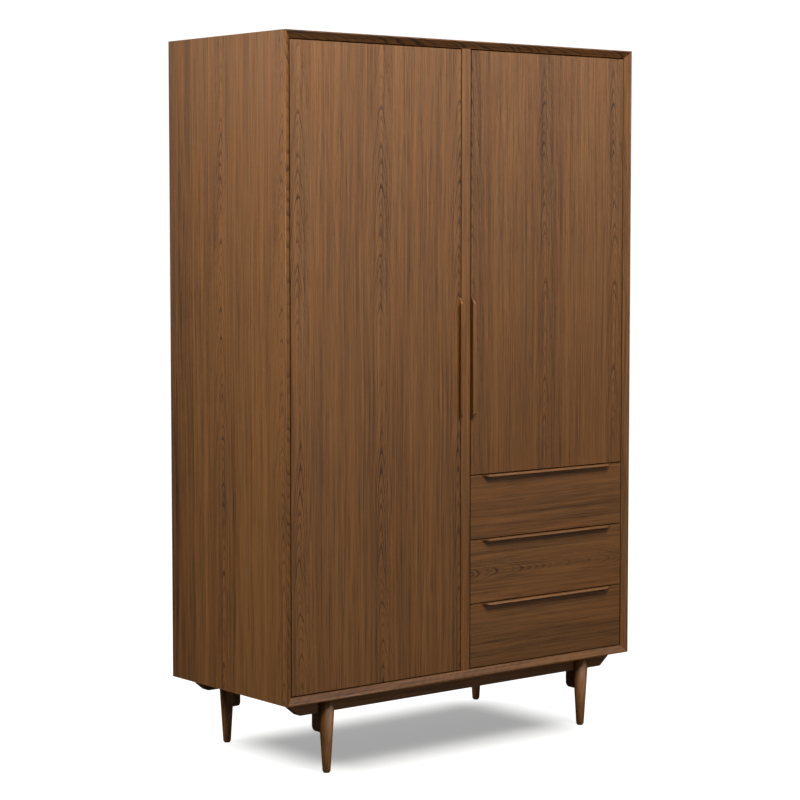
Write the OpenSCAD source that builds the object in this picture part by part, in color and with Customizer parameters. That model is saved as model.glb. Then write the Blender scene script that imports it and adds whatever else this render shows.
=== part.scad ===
// Two-door armoire with three drawers on a low leg frame.
// X runs across the front, Y runs from the front to the back and Z runs up from the floor.

/* [Carcass] */
// Outside width of the carcass
carcass_w = 1200; // [900:10:1600]
// Outside depth of the carcass
carcass_d = 520; // [500:5:680]
// Outside height of the carcass, without the legs
carcass_h = 1695; // [1300:5:2100]
// Thickness of the four carcass boards
board_t = 20; // [16:1:28]
// Flat lip left at the front edge of each carcass board
lip_t = 4; // [2:0.5:10]
// How far the doors and drawers sit behind the front edge, and so the depth of the bevel
front_setback = 11; // [6:0.5:20]
// Thickness of the centre partition
partition_t = 31; // [18:1:40]

/* [Back] */
// Thickness of the two back panels
back_t = 6; // [3:0.5:7]
// Depth of the rebate that takes the back panels
rebate_d = 8; // [7:0.5:12]
// Width of that rebate
rebate_w = 8; // [5:0.5:12]

/* [Doors] */
// Thickness of the doors and drawer fronts
door_t = 20; // [18:0.5:28]
// Gap around each door and drawer front
door_gap = 3; // [2.5:0.5:5]
// Small chamfer on the front edges of doors and drawer fronts
edge_ease = 1; // [0.5:0.25:2]
// Number of hinges on the tall left door
left_hinges = 4; // [2:1:5]
// Height of the outer hinges above and below the door's ends
hinge_inset = 90; // [60:5:160]

/* [Drawers] */
// Height of each drawer front
drawer_front_h = 171; // [140:1:220]
// Height of the drawer box
box_h = 130; // [90:1:135]
// Depth of the drawer box from front to back
box_d = 450; // [350:10:460]
// Thickness of the drawer box boards
box_t = 12; // [9:0.5:16]
// Thickness of the drawer bottom
box_bottom_t = 6; // [4:0.5:9]
// Height of the drawer box above the lower edge of its front
box_rise = 16; // [8:1:30]

/* [Pulls] */
// How far the pulls stand out from the door face
pull_out = 13; // [10:0.5:22]
// Width of the pull's front lip
pull_face = 8; // [6:0.5:14]
// Length of the door pulls
door_pull_l = 325; // [160:5:600]
// Height of the middle of the door pulls above the carcass bottom
door_pull_z = 857; // [600:1:1100]
// Distance from a drawer pull's end to the end of its drawer front
drawer_pull_margin = 41; // [20:1:120]
// Length of the slope at each end of a pull
pull_slope = 18; // [6:1:40]

/* [Base] */
// Height of the legs with their glides
leg_h = 195; // [120:5:260]
// Diameter at the top of a leg
leg_top_d = 45; // [35:1:60]
// Diameter at the foot of a leg
leg_foot_d = 21; // [16:1:34]
// Distance from the side of the carcass to a leg's axis
leg_side = 151; // [110:1:260]
// Distance from the front or back of the carcass to a leg's axis
leg_front = 36; // [28:1:80]
// Height of the beams and rails under the carcass
beam_h = 38; // [30:1:60]
// Thickness of the beams and rails
beam_t = 25; // [18:1:35]
// How far the lower edge of a beam stops short of the carcass side
beam_end = 69; // [40:1:100]
// How much longer a beam is at its upper edge, at each end
beam_slope = 46; // [10:1:50]
// Depth of the knee that each rail has beside a leg, below the beams
knee_drop = 53; // [20:1:80]
// Length of the knee from the leg's axis
knee_l = 47; // [40:1:100]
// Thickness of the glide under each leg
glide_t = 3; // [2:0.5:6]

/* [Interior] */
// Thickness of the shelves
shelf_t = 18; // [15:1:25]
// Gap between the back of the doors and the front of the shelves
shelf_clear = 10; // [8:1:60]
// Space above the hat shelf
hat_space = 300; // [200:10:420]
// Distance from the hat shelf down to the middle of the hanging rod
rod_drop = 60; // [45:5:90]
// Diameter of the hanging rod
rod_d = 25; // [18:1:32]

/* [Slides] */
// Thickness of a closed drawer slide
slide_t = 12.7; // [12.7:0.1:14]
// Height of a drawer slide
slide_h = 45; // [35:1:50]
// Length of a drawer slide
slide_l = 450; // [350:10:460]

/* [Hidden] */
$fn = 48;

// Colours
oak = "#6e4c31";
oak_dark = "#5c3e28";
oak_inside = "#8a684a";
birch = "#d8c39c";
zinc = "#b9bcc0";
black = "#26241f";

// Overshoot of a cutter past the face that it opens
over = 1;

// Main places
pull_proud = max(0, pull_out - front_setback);
front_y = (pull_proud - carcass_d) / 2;
back_y = front_y + carcass_d;
door_y = front_y + front_setback;
door_back_y = door_y + door_t;
inside_back_y = back_y - rebate_d;
carcass_z = leg_h;
top_z = carcass_z + carcass_h;
floor_z = carcass_z + board_t;
ceiling_z = top_z - board_t;
inside_x = carcass_w / 2 - board_t;
partition_x = partition_t / 2;
bay_w = inside_x - partition_x;

// Doors and drawer fronts
leaf_w = bay_w - 2 * door_gap;
leaf_x = partition_x + door_gap;
drawer_count = 3;
drawer_pitch = drawer_front_h + door_gap;
left_door_z = floor_z + door_gap;
right_door_z = left_door_z + drawer_count * drawer_pitch;
door_top_z = ceiling_z - door_gap;
divider_z = right_door_z - door_gap / 2 - shelf_t / 2;

// Shelves and hanging rod
shelf_y = door_back_y + shelf_clear;
shelf_d = inside_back_y - shelf_y;
shelf_side_gap = 0.5;
loose_shelves = 2;
shelf_pitch = (ceiling_z - divider_z - shelf_t) / (loose_shelves + 1);
hat_shelf_z = ceiling_z - hat_space - shelf_t;
pin_d = 5;
pin_depth = 8;
pin_out = 8;
pin_inset = 50;
rod_z = hat_shelf_z - rod_drop;
rod_y = (door_back_y + inside_back_y) / 2;
rod_wall = 1.5;
socket_t = 3;
socket_rim = 3;
socket_l = 14;
rod_play = 0.2;
rod_end_gap = 1;

// Leg frame
beam_y = leg_front + 5;
knee_r = 14;
leg_chamfer = 2;
screw_d = 4.5;
screw_head_d = 9;
screw_head_t = 3;
screw_sink = 14;
screw_bite = 12;
screws_per_rail = 3;

// Hinges, measured from the inner face of the side panel (X) and the door's front face (Y)
cup_d = 35;
cup_edge = 5;
cup_depth = 13;
cup_wall = 1;
cup_x = door_gap + cup_edge + cup_d / 2;
flange_t = 1.2;
flange_w = 14;
flange_l = 56;
cup_pin = [door_gap + 13.5, door_t - 4.6];
cup_pin_d = 3;
arm_pin = [door_gap + 43, door_t + 8];
arm_pin_d = 4;
pin_play = 0.05;
link_elbow = [door_gap + 26.3, door_t - 7.8];
link_t = 3.4;
link_h = 10;
link_eye_d = 8.5;
slot_w = 4.4;
slot_l = 3.5;
slot_back = 1.7;
slot_side = 0.33;
slot_wall = 1.3;
arm_t = 5;
arm_h = 16;
arm_nose_d = 11;
fork_gap = 0.3;
arm_elbow = [door_gap + 25, door_t + 24];
arm_bend = [door_gap + 7, door_t + 44];
arm_end = [door_gap + 7, door_t + 84];
plate_t = 7;
plate_w = 16;
plate_l = 44;
wing_t = 3;
wing_h = 48;
wing_w = 14;
plate_screw_d = 7;
right_hinges = 3;

// Drawer slides
slide_y = door_back_y + 2;
slide_metal = 1.2;
middle_gap = 3.5;
middle_step = 3;
inner_step = 7.5;
inner_flange = 4.7;
bottom_groove = 6;
groove_depth = 6;
groove_play = 0.2;

// ---- Carcass ----

// One of the four carcass boards: its length lies along X, its outer face is at z = 0.
// Its ends are mitred, its inner front edge is bevelled and its inner rear edge is rebated.
module frame_board(length) {
    bevel_rise = (board_t - lip_t) / front_setback;
    difference() {
        translate([0, back_y, 0])
            rotate([90, 0, 0])
                linear_extrude(carcass_d)
                    polygon([
                        [-length / 2, 0],
                        [length / 2, 0],
                        [length / 2 - board_t, board_t],
                        [-length / 2 + board_t, board_t]
                    ]);
        translate([-length / 2 - over, front_y, 0])
            rotate([90, 0, 90])
                linear_extrude(length + 2 * over)
                    polygon([
                        [-over, lip_t - over * bevel_rise],
                        [front_setback + over, board_t + over * bevel_rise],
                        [-over, board_t + over * bevel_rise]
                    ]);
        translate([-length / 2, back_y - rebate_d, board_t - rebate_w])
            cube([length, rebate_d + over, rebate_w + over]);
    }
}

module upright_board() {
    translate([-carcass_w / 2, 0, carcass_z + carcass_h / 2])
        rotate([0, 90, 0])
            frame_board(carcass_h);
}

module left_side_panel() {
    color(oak)
        difference() {
            upright_board();
            hat_shelf_pins();
        }
}

module right_side_panel() {
    color(oak)
        difference() {
            mirror([1, 0, 0]) upright_board();
            loose_shelf_pins();
        }
}

module top_panel() {
    color(oak)
        translate([0, 0, top_z])
            mirror([0, 0, 1])
                frame_board(carcass_w);
}

module bottom_panel() {
    color(oak)
        difference() {
            translate([0, 0, carcass_z]) frame_board(carcass_w);
            base_screws();
        }
}

module centre_partition() {
    color(oak)
        difference() {
            translate([-partition_x, door_y, floor_z])
                cube([partition_t, inside_back_y - door_y, ceiling_z - floor_z]);
            hat_shelf_pins();
            loose_shelf_pins();
        }
}

module back_panel() {
    joint_gap = 1;
    color(oak_inside)
        translate([joint_gap / 2, inside_back_y, floor_z - rebate_w])
            cube([inside_x + rebate_w - joint_gap / 2, back_t, ceiling_z - floor_z + 2 * rebate_w]);
}

module left_back_panel() {
    mirror([1, 0, 0]) back_panel();
}

module right_back_panel() {
    back_panel();
}

// ---- Shelves and hanging rod ----

module shelf(z, play) {
    color(oak_inside)
        translate([partition_x + play, shelf_y, z])
            cube([bay_w - 2 * play, shelf_d, shelf_t]);
}

module drawer_divider() {
    shelf(divider_z, 0);
}

module hat_shelf() {
    mirror([1, 0, 0]) shelf(hat_shelf_z, shelf_side_gap);
}

module lower_shelf() {
    shelf(divider_z + shelf_pitch, shelf_side_gap);
}

module upper_shelf() {
    shelf(divider_z + 2 * shelf_pitch, shelf_side_gap);
}

// The four pins under one shelf in the right-hand bay
module pin_set(z) {
    for (y = [shelf_y + pin_inset, inside_back_y - pin_inset])
        for (x = [partition_x - pin_depth, inside_x - pin_out])
            translate([x, y, z - pin_d / 2])
                rotate([0, 90, 0])
                    cylinder(d = pin_d, h = pin_depth + pin_out);
}

module hat_shelf_pins() {
    mirror([1, 0, 0]) pin_set(hat_shelf_z);
}

module loose_shelf_pins() {
    for (i = [1:loose_shelves]) pin_set(divider_z + i * shelf_pitch);
}

module shelf_pins() {
    color(zinc) {
        hat_shelf_pins();
        loose_shelf_pins();
    }
}

module hanging_rod() {
    color(black)
        translate([-inside_x + socket_t + rod_end_gap, rod_y, rod_z])
            rotate([0, 90, 0])
                difference() {
                    length = bay_w - 2 * (socket_t + rod_end_gap);
                    cylinder(d = rod_d, h = length);
                    translate([0, 0, -over])
                        cylinder(d = rod_d - 2 * rod_wall, h = length + 2 * over);
                }
}

// A round wall socket whose plate lies in the plane z = 0
module rod_socket() {
    bore = rod_d + 2 * rod_play;
    cylinder(d = bore + 4 * socket_rim, h = socket_t);
    difference() {
        cylinder(d = bore + 2 * socket_rim, h = socket_l);
        translate([0, 0, socket_t]) cylinder(d = bore, h = socket_l);
    }
}

module rod_sockets() {
    color(black) {
        translate([-inside_x, rod_y, rod_z]) rotate([0, 90, 0]) rod_socket();
        translate([-partition_x, rod_y, rod_z]) rotate([0, -90, 0]) rod_socket();
    }
}

// ---- Leg frame ----

// A beam under the front edge, with sloping ends and a notch for each leg
module beam() {
    half_low = carcass_w / 2 - beam_end;
    half_high = half_low + beam_slope;
    color(oak_dark)
        difference() {
            translate([0, front_y + beam_y + beam_t, carcass_z])
                rotate([90, 0, 0])
                    linear_extrude(beam_t)
                        polygon([
                            [-half_low, -beam_h],
                            [half_low, -beam_h],
                            [half_high, 0],
                            [-half_high, 0]
                        ]);
            front_leg_blank();
            mirror([1, 0, 0]) front_leg_blank();
        }
}

// Reflects its children from the front of the carcass to the back
module to_rear() {
    translate([0, front_y + back_y, 0]) mirror([0, 1, 0]) children();
}

module front_beam() {
    beam();
}

module rear_beam() {
    to_rear() beam();
}

// The front half of a rail, as an outline of depth against height
module rail_outline() {
    corner_y = leg_front + knee_l;
    low_z = -beam_h - knee_drop;
    translate([beam_y + beam_t, -beam_h])
        square([carcass_d / 2 - beam_y - beam_t, beam_h]);
    translate([leg_front, low_z])
        square([knee_l - knee_r, knee_drop]);
    translate([leg_front, low_z + knee_r])
        square([knee_l, knee_drop - knee_r]);
    translate([corner_y - knee_r, low_z + knee_r])
        circle(knee_r);
}

module half_rail() {
    translate([-carcass_w / 2 + leg_side - beam_t / 2, front_y, carcass_z])
        rotate([90, 0, 90])
            linear_extrude(beam_t)
                rail_outline();
}

module left_base_rail() {
    color(oak_dark)
        difference() {
            union() {
                half_rail();
                to_rear() half_rail();
            }
            front_leg_blank();
            to_rear() front_leg_blank();
            base_screws();
            screw_wells();
        }
}

module right_base_rail() {
    mirror([1, 0, 0]) left_base_rail();
}

module front_leg_blank() {
    slope = (leg_top_d - leg_foot_d) / 2 / (leg_h - glide_t);
    foot_r = leg_foot_d / 2;
    translate([-carcass_w / 2 + leg_side, front_y + leg_front, glide_t])
        rotate_extrude()
            polygon([
                [0, 0],
                [foot_r - leg_chamfer, 0],
                [foot_r + slope * leg_chamfer, leg_chamfer],
                [leg_top_d / 2, leg_h - glide_t],
                [0, leg_h - glide_t]
            ]);
}

module front_left_leg() {
    color(oak) front_leg_blank();
}

module front_right_leg() {
    mirror([1, 0, 0]) front_left_leg();
}

module rear_left_leg() {
    to_rear() front_left_leg();
}

module rear_right_leg() {
    mirror([1, 0, 0]) rear_left_leg();
}

module front_left_glide() {
    translate([-carcass_w / 2 + leg_side, front_y + leg_front, 0])
        cylinder(d = leg_foot_d - 2 * leg_chamfer, h = glide_t);
}

module foot_glides() {
    color(black)
        for (side = [0, 1])
            mirror([side, 0, 0]) {
                front_left_glide();
                to_rear() front_left_glide();
            }
}

// Places its children along both rails, at the underside of the carcass
module at_base_screws() {
    first = front_y + beam_y + beam_t + knee_l;
    run = back_y - front_y - 2 * (first - front_y);
    for (side = [-1, 1])
        for (i = [0:screws_per_rail - 1])
            translate([
                side * (carcass_w / 2 - leg_side),
                first + run * i / (screws_per_rail - 1),
                carcass_z
            ])
                children();
}

module base_screws() {
    shank_l = beam_h - screw_sink + screw_bite;
    color(zinc)
        at_base_screws() {
            translate([0, 0, screw_bite - shank_l]) cylinder(d = screw_d, h = shank_l);
            translate([0, 0, screw_sink - beam_h - screw_head_t])
                cylinder(d = screw_head_d, h = screw_head_t);
        }
}

module screw_wells() {
    at_base_screws()
        translate([0, 0, -beam_h - over])
            cylinder(d = screw_head_d + 1, h = screw_sink + over);
}

// ---- Doors ----

// A flat leaf with eased front edges, standing at x = 0 to width with its front face at door_y
module leaf(width, height) {
    ease = edge_ease;
    intersection() {
        translate([0, door_y, 0])
            linear_extrude(height)
                polygon([
                    [0, ease],
                    [ease, 0],
                    [width - ease, 0],
                    [width, ease],
                    [width, door_t],
                    [0, door_t]
                ]);
        translate([-over, door_y, 0])
            rotate([90, 0, 90])
                linear_extrude(width + 2 * over)
                    polygon([
                        [0, ease],
                        [ease, 0],
                        [door_t, 0],
                        [door_t, height],
                        [ease, height],
                        [0, height - ease]
                    ]);
    }
}

// Section of a pull: X runs in from the free edge of the leaf, Y runs out from its face
module pull_section() {
    groove_r = pull_out * 0.35;
    difference() {
        square([pull_face, pull_out]);
        translate([pull_face + groove_r / 3, groove_r]) circle(groove_r);
    }
}

// A pull along Z, centred on z = 0, with both ends sloped back to the leaf
module pull(length) {
    root = 1.5;
    difference() {
        translate([0, 0, -length / 2]) linear_extrude(length) pull_section();
        for (end = [0, 1])
            mirror([0, 0, end])
                translate([-over, 0, 0])
                    rotate([90, 0, 90])
                        linear_extrude(pull_face + 2 * over)
                            polygon([
                                [root, length / 2],
                                [pull_out, length / 2 - pull_slope],
                                [pull_out + over, length / 2 - pull_slope],
                                [pull_out + over, length / 2 + over],
                                [root, length / 2 + over]
                            ]);
    }
}

// The right door's own pieces; the left ones are these mirrored, with their own height
module door_pull() {
    color(oak)
        translate([leaf_x, door_y, carcass_z + door_pull_z])
            mirror([0, 1, 0])
                pull(door_pull_l);
}

function hinge_z(low, count) = [
    for (i = [0:count - 1])
        low + hinge_inset + (door_top_z - low - 2 * hinge_inset) * i / (count - 1)
];
left_hinge_z = hinge_z(left_door_z, left_hinges);
right_hinge_z = hinge_z(right_door_z, right_hinges);

module door_panel(low, heights) {
    color(oak)
        difference() {
            translate([leaf_x, 0, low]) leaf(leaf_w, door_top_z - low);
            at_hinges(heights)
                translate([cup_x, door_t - cup_depth, 0])
                    rotate([-90, 0, 0])
                        cylinder(d = cup_d, h = cup_depth + over);
        }
}

// Puts its children at each hinge of a right-hand door.
// X runs in from the side panel's inner face, Y runs back from the door's front face.
module at_hinges(heights) {
    for (z = heights)
        translate([inside_x, door_y, z])
            mirror([1, 0, 0])
                children();
}

// ---- Hinges ----

// A straight bar with round ends between two points, in plan
module bar(from, to, thick) {
    span = to - from;
    translate(from)
        rotate([0, 0, atan2(span.y, span.x)])
            translate([0, -thick / 2])
                square([norm(span), thick]);
    translate(from) circle(d = thick);
    translate(to) circle(d = thick);
}

module hinge_cup() {
    difference() {
        union() {
            translate([cup_x, door_t - cup_depth, 0])
                rotate([-90, 0, 0])
                    cylinder(d = cup_d, h = cup_depth + flange_t);
            translate([cup_x - flange_w / 2, door_t, -flange_l / 2])
                cube([flange_w, flange_t, flange_l]);
        }
        translate([cup_x, door_t - cup_depth + cup_wall, 0])
            rotate([-90, 0, 0])
                cylinder(d = cup_d - 2 * cup_wall, h = cup_depth + flange_t);
    }
    pin_reach = sqrt(pow(cup_d / 2 - cup_wall / 2, 2) - pow(cup_x - cup_pin.x, 2));
    translate([cup_pin.x, cup_pin.y, -pin_reach])
        cylinder(d = cup_pin_d, h = 2 * pin_reach);
}

// The link swings on the arm's pin and rides on the cup's pin in a short slot
module hinge_link() {
    reach = cup_pin - arm_pin;
    along = reach / norm(reach);
    across = [-along.y, along.x];
    eye = cup_pin - slot_back * along - slot_side * across;
    difference() {
        linear_extrude(link_h, center = true) {
            translate(arm_pin) circle(d = link_eye_d);
            bar(arm_pin, link_elbow, link_t);
            bar(link_elbow, eye, link_t);
            bar(eye - slot_l / 2 * along, eye + slot_l / 2 * along, slot_w + 2 * slot_wall);
        }
        linear_extrude(link_h + 2 * over, center = true) {
            translate(arm_pin) circle(d = arm_pin_d + 2 * pin_play);
            bar(eye - slot_l / 2 * along, eye + slot_l / 2 * along, slot_w);
        }
    }
}

module hinge_arm() {
    difference() {
        linear_extrude(arm_h, center = true) {
            translate(arm_pin) circle(d = arm_nose_d);
            bar(arm_pin, arm_elbow, arm_t);
            bar(arm_elbow, arm_bend, arm_t);
            bar(arm_bend, arm_end, arm_t);
        }
        translate([arm_pin.x, arm_pin.y, 0])
            cylinder(d = arm_nose_d + 4, h = link_h + 2 * fork_gap, center = true);
    }
    translate([arm_pin.x, arm_pin.y, 0])
        cylinder(d = arm_pin_d, h = arm_h, center = true);
}

module hinge_plate() {
    base_y = arm_end.y - plate_l + arm_t / 2;
    wing_y = base_y + plate_l / 2;
    translate([0, base_y, -plate_w / 2])
        cube([arm_end.x - arm_t / 2, plate_l, plate_w]);
    translate([0, wing_y - wing_w / 2, -wing_h / 2])
        cube([wing_t, wing_w, wing_h]);
    for (z = [-1, 1])
        translate([wing_t, wing_y, z * (wing_h + plate_w) / 4])
            rotate([0, 90, 0])
                cylinder(d1 = plate_screw_d, d2 = plate_screw_d - 2, h = 1);
}

// ---- Right door ----

module right_door_panel() {
    door_panel(right_door_z, right_hinge_z);
}

module right_door_pull() {
    door_pull();
}

module right_hinge_cups() {
    color(zinc) at_hinges(right_hinge_z) hinge_cup();
}

module right_hinge_links() {
    color(zinc) at_hinges(right_hinge_z) hinge_link();
}

module right_hinge_arms() {
    color(zinc) at_hinges(right_hinge_z) hinge_arm();
}

module right_hinge_plates() {
    color(zinc) at_hinges(right_hinge_z) hinge_plate();
}

// ---- Left door ----

module left_door_panel() {
    mirror([1, 0, 0]) door_panel(left_door_z, left_hinge_z);
}

module left_door_pull() {
    mirror([1, 0, 0]) door_pull();
}

module left_hinge_cups() {
    color(zinc) mirror([1, 0, 0]) at_hinges(left_hinge_z) hinge_cup();
}

module left_hinge_links() {
    color(zinc) mirror([1, 0, 0]) at_hinges(left_hinge_z) hinge_link();
}

module left_hinge_arms() {
    color(zinc) mirror([1, 0, 0]) at_hinges(left_hinge_z) hinge_arm();
}

module left_hinge_plates() {
    color(zinc) mirror([1, 0, 0]) at_hinges(left_hinge_z) hinge_plate();
}

// ---- Drawers, counted from 0 at the bottom ----

function drawer_z(i) = left_door_z + i * drawer_pitch;
function box_z(i) = drawer_z(i) + box_rise;
box_x = partition_x + slide_t;
box_w = bay_w - 2 * slide_t;

module drawer_front(i) {
    color(oak) translate([leaf_x, 0, drawer_z(i)]) leaf(leaf_w, drawer_front_h);
}

module drawer_pull(i) {
    color(oak)
        translate([leaf_x + leaf_w / 2, door_y, drawer_z(i) + drawer_front_h])
            rotate([0, 90, 0])
                mirror([0, 1, 0])
                    pull(leaf_w - 2 * drawer_pull_margin);
}

// The sheet that slots into the grooves of the drawer box, grown by the play given
module bottom_sheet(i, play) {
    grip = box_t - groove_depth;
    translate([box_x + grip - play, door_back_y + grip - play, box_z(i) + bottom_groove - play])
        cube([box_w - 2 * grip + 2 * play, box_d - 2 * grip + 2 * play, box_bottom_t + 2 * play]);
}

module drawer_sides(i) {
    color(birch)
        difference() {
            for (x = [box_x, box_x + box_w - box_t])
                translate([x, door_back_y, box_z(i)]) cube([box_t, box_d, box_h]);
            bottom_sheet(i, groove_play);
        }
}

module drawer_ends(i) {
    color(birch)
        difference() {
            for (y = [door_back_y, door_back_y + box_d - box_t])
                translate([box_x + box_t, y, box_z(i)]) cube([box_w - 2 * box_t, box_t, box_h]);
            bottom_sheet(i, groove_play);
        }
}

module drawer_bottom(i) {
    color(birch) bottom_sheet(i, 0);
}

// A channel section with its web at x = 0 to the metal's thickness and its flanges towards +X
module channel(height, flange) {
    translate([0, -height / 2]) square([slide_metal, height]);
    for (side = [0, 1])
        mirror([0, side])
            translate([0, height / 2 - slide_metal])
                square([flange, slide_metal]);
}

// Runs a slide section along both sides of drawer i, with X measured from the cabinet wall
module both_sides(i) {
    for (side = [0, 1])
        translate([side * (partition_x + inside_x), 0, 0])
            mirror([side, 0, 0])
                translate([partition_x, slide_y + slide_l, box_z(i) + box_h / 2])
                    rotate([90, 0, 0])
                        linear_extrude(slide_l)
                            children();
}

module cabinet_slides() {
    color(zinc)
        for (i = [0:drawer_count - 1])
            both_sides(i)
                channel(slide_h, slide_t - middle_gap);
}

module middle_slides(i) {
    color(zinc)
        both_sides(i)
            translate([middle_gap, 0])
                channel(slide_h - 2 * middle_step, slide_t - 2 * middle_gap);
}

module drawer_slides(i) {
    color(zinc)
        both_sides(i)
            translate([slide_t, 0])
                mirror([1, 0])
                    channel(slide_h - 2 * inner_step, inner_flange);
}

left_side_panel();
right_side_panel();
top_panel();
bottom_panel();
centre_partition();
left_back_panel();
right_back_panel();
drawer_divider();
hat_shelf();
upper_shelf();
lower_shelf();
shelf_pins();
hanging_rod();
rod_sockets();
front_beam();
rear_beam();
left_base_rail();
right_base_rail();
front_left_leg();
front_right_leg();
rear_left_leg();
rear_right_leg();
foot_glides();
base_screws();
left_door_panel();
left_door_pull();
left_hinge_cups();
left_hinge_links();
left_hinge_arms();
left_hinge_plates();
right_door_panel();
right_door_pull();
right_hinge_cups();
right_hinge_links();
right_hinge_arms();
right_hinge_plates();
cabinet_slides();
drawer_front(0);  // lower_drawer_front
drawer_pull(0);  // lower_drawer_pull
drawer_sides(0);  // lower_drawer_sides
drawer_ends(0);  // lower_drawer_ends
drawer_bottom(0);  // lower_drawer_bottom
drawer_slides(0);  // lower_drawer_slides
middle_slides(0);  // lower_middle_slides
drawer_front(1);  // middle_drawer_front
drawer_pull(1);  // middle_drawer_pull
drawer_sides(1);  // middle_drawer_sides
drawer_ends(1);  // middle_drawer_ends
drawer_bottom(1);  // middle_drawer_bottom
drawer_slides(1);  // middle_drawer_slides
middle_slides(1);  // middle_middle_slides
drawer_front(2);  // upper_drawer_front
drawer_pull(2);  // upper_drawer_pull
drawer_sides(2);  // upper_drawer_sides
drawer_ends(2);  // upper_drawer_ends
drawer_bottom(2);  // upper_drawer_bottom
drawer_slides(2);  // upper_drawer_slides
middle_slides(2);  // upper_middle_slides
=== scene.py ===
# %% [markdown]
# # A two-door oak armoire with three drawers
#
# This lesson dresses a finished cabinet model. The engineering model already says where every
# board, hinge and slide is and how the doors and drawers move. Here each board is modelled
# again with the small rounded edges that a cabinet maker sands on, and every surface gets a
# finish built from nodes: stained oak veneer, solid oak, birch plywood, zinc and nylon.

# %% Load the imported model
import math

import bmesh
import bpy
from mathutils import Matrix, Vector


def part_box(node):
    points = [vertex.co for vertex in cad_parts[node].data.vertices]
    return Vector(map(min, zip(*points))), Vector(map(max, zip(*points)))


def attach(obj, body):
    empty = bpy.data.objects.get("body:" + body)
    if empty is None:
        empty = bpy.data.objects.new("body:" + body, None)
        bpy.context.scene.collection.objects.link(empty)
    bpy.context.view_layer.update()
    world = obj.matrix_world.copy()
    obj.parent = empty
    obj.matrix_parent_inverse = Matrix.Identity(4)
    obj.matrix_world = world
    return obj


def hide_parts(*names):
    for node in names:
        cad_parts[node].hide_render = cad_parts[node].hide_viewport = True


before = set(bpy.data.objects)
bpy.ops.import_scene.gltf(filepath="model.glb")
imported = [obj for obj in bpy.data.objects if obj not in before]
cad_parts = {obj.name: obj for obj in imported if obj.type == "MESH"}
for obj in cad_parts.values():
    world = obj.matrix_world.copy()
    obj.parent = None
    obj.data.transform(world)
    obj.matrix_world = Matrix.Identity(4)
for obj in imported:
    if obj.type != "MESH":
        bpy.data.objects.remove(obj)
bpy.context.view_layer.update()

MM = 0.001
print("nodes:", len(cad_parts))

# %% [markdown]
# ## The camera first
#
# Furniture is pictured from a little to the left, with a long lens from five metres or more,
# so that the upright edges stay upright. The camera is placed before anything else, because
# every later choice of size and contrast is judged through it.

# %% Camera
CAMERA_PLACE = Vector((-3.994, -4.892, 1.419))
CAMERA_TURN = math.radians(-39.06)
CAMERA_TILT = math.radians(-4.2)
LENS = 103.81
SENSOR_WIDTH = 36.0
SHIFT_DOWN = -0.0127
SIGHT = 200.0

camera_data = bpy.data.cameras.new("studio_camera")
camera_data.lens = LENS
camera_data.sensor_width = SENSOR_WIDTH
camera_data.shift_y = SHIFT_DOWN
camera_data.clip_end = SIGHT
camera = bpy.data.objects.new("studio_camera", camera_data)
camera.location = CAMERA_PLACE
camera.rotation_euler = (math.radians(90.0) + CAMERA_TILT, 0.0, CAMERA_TURN)
bpy.context.scene.collection.objects.link(camera)
bpy.context.scene.camera = camera
print("camera stands", round(CAMERA_PLACE.xy.length, 2), "m from the middle of the armoire")

# %% [markdown]
# ## A kit for finishes
#
# A material in Blender is a graph: coordinates go in, colour, roughness and bump come out.
# Writing such graphs by hand is long-winded, so this small class adds one node per call and
# hands back its output. All the finishes below are written with it.

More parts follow.
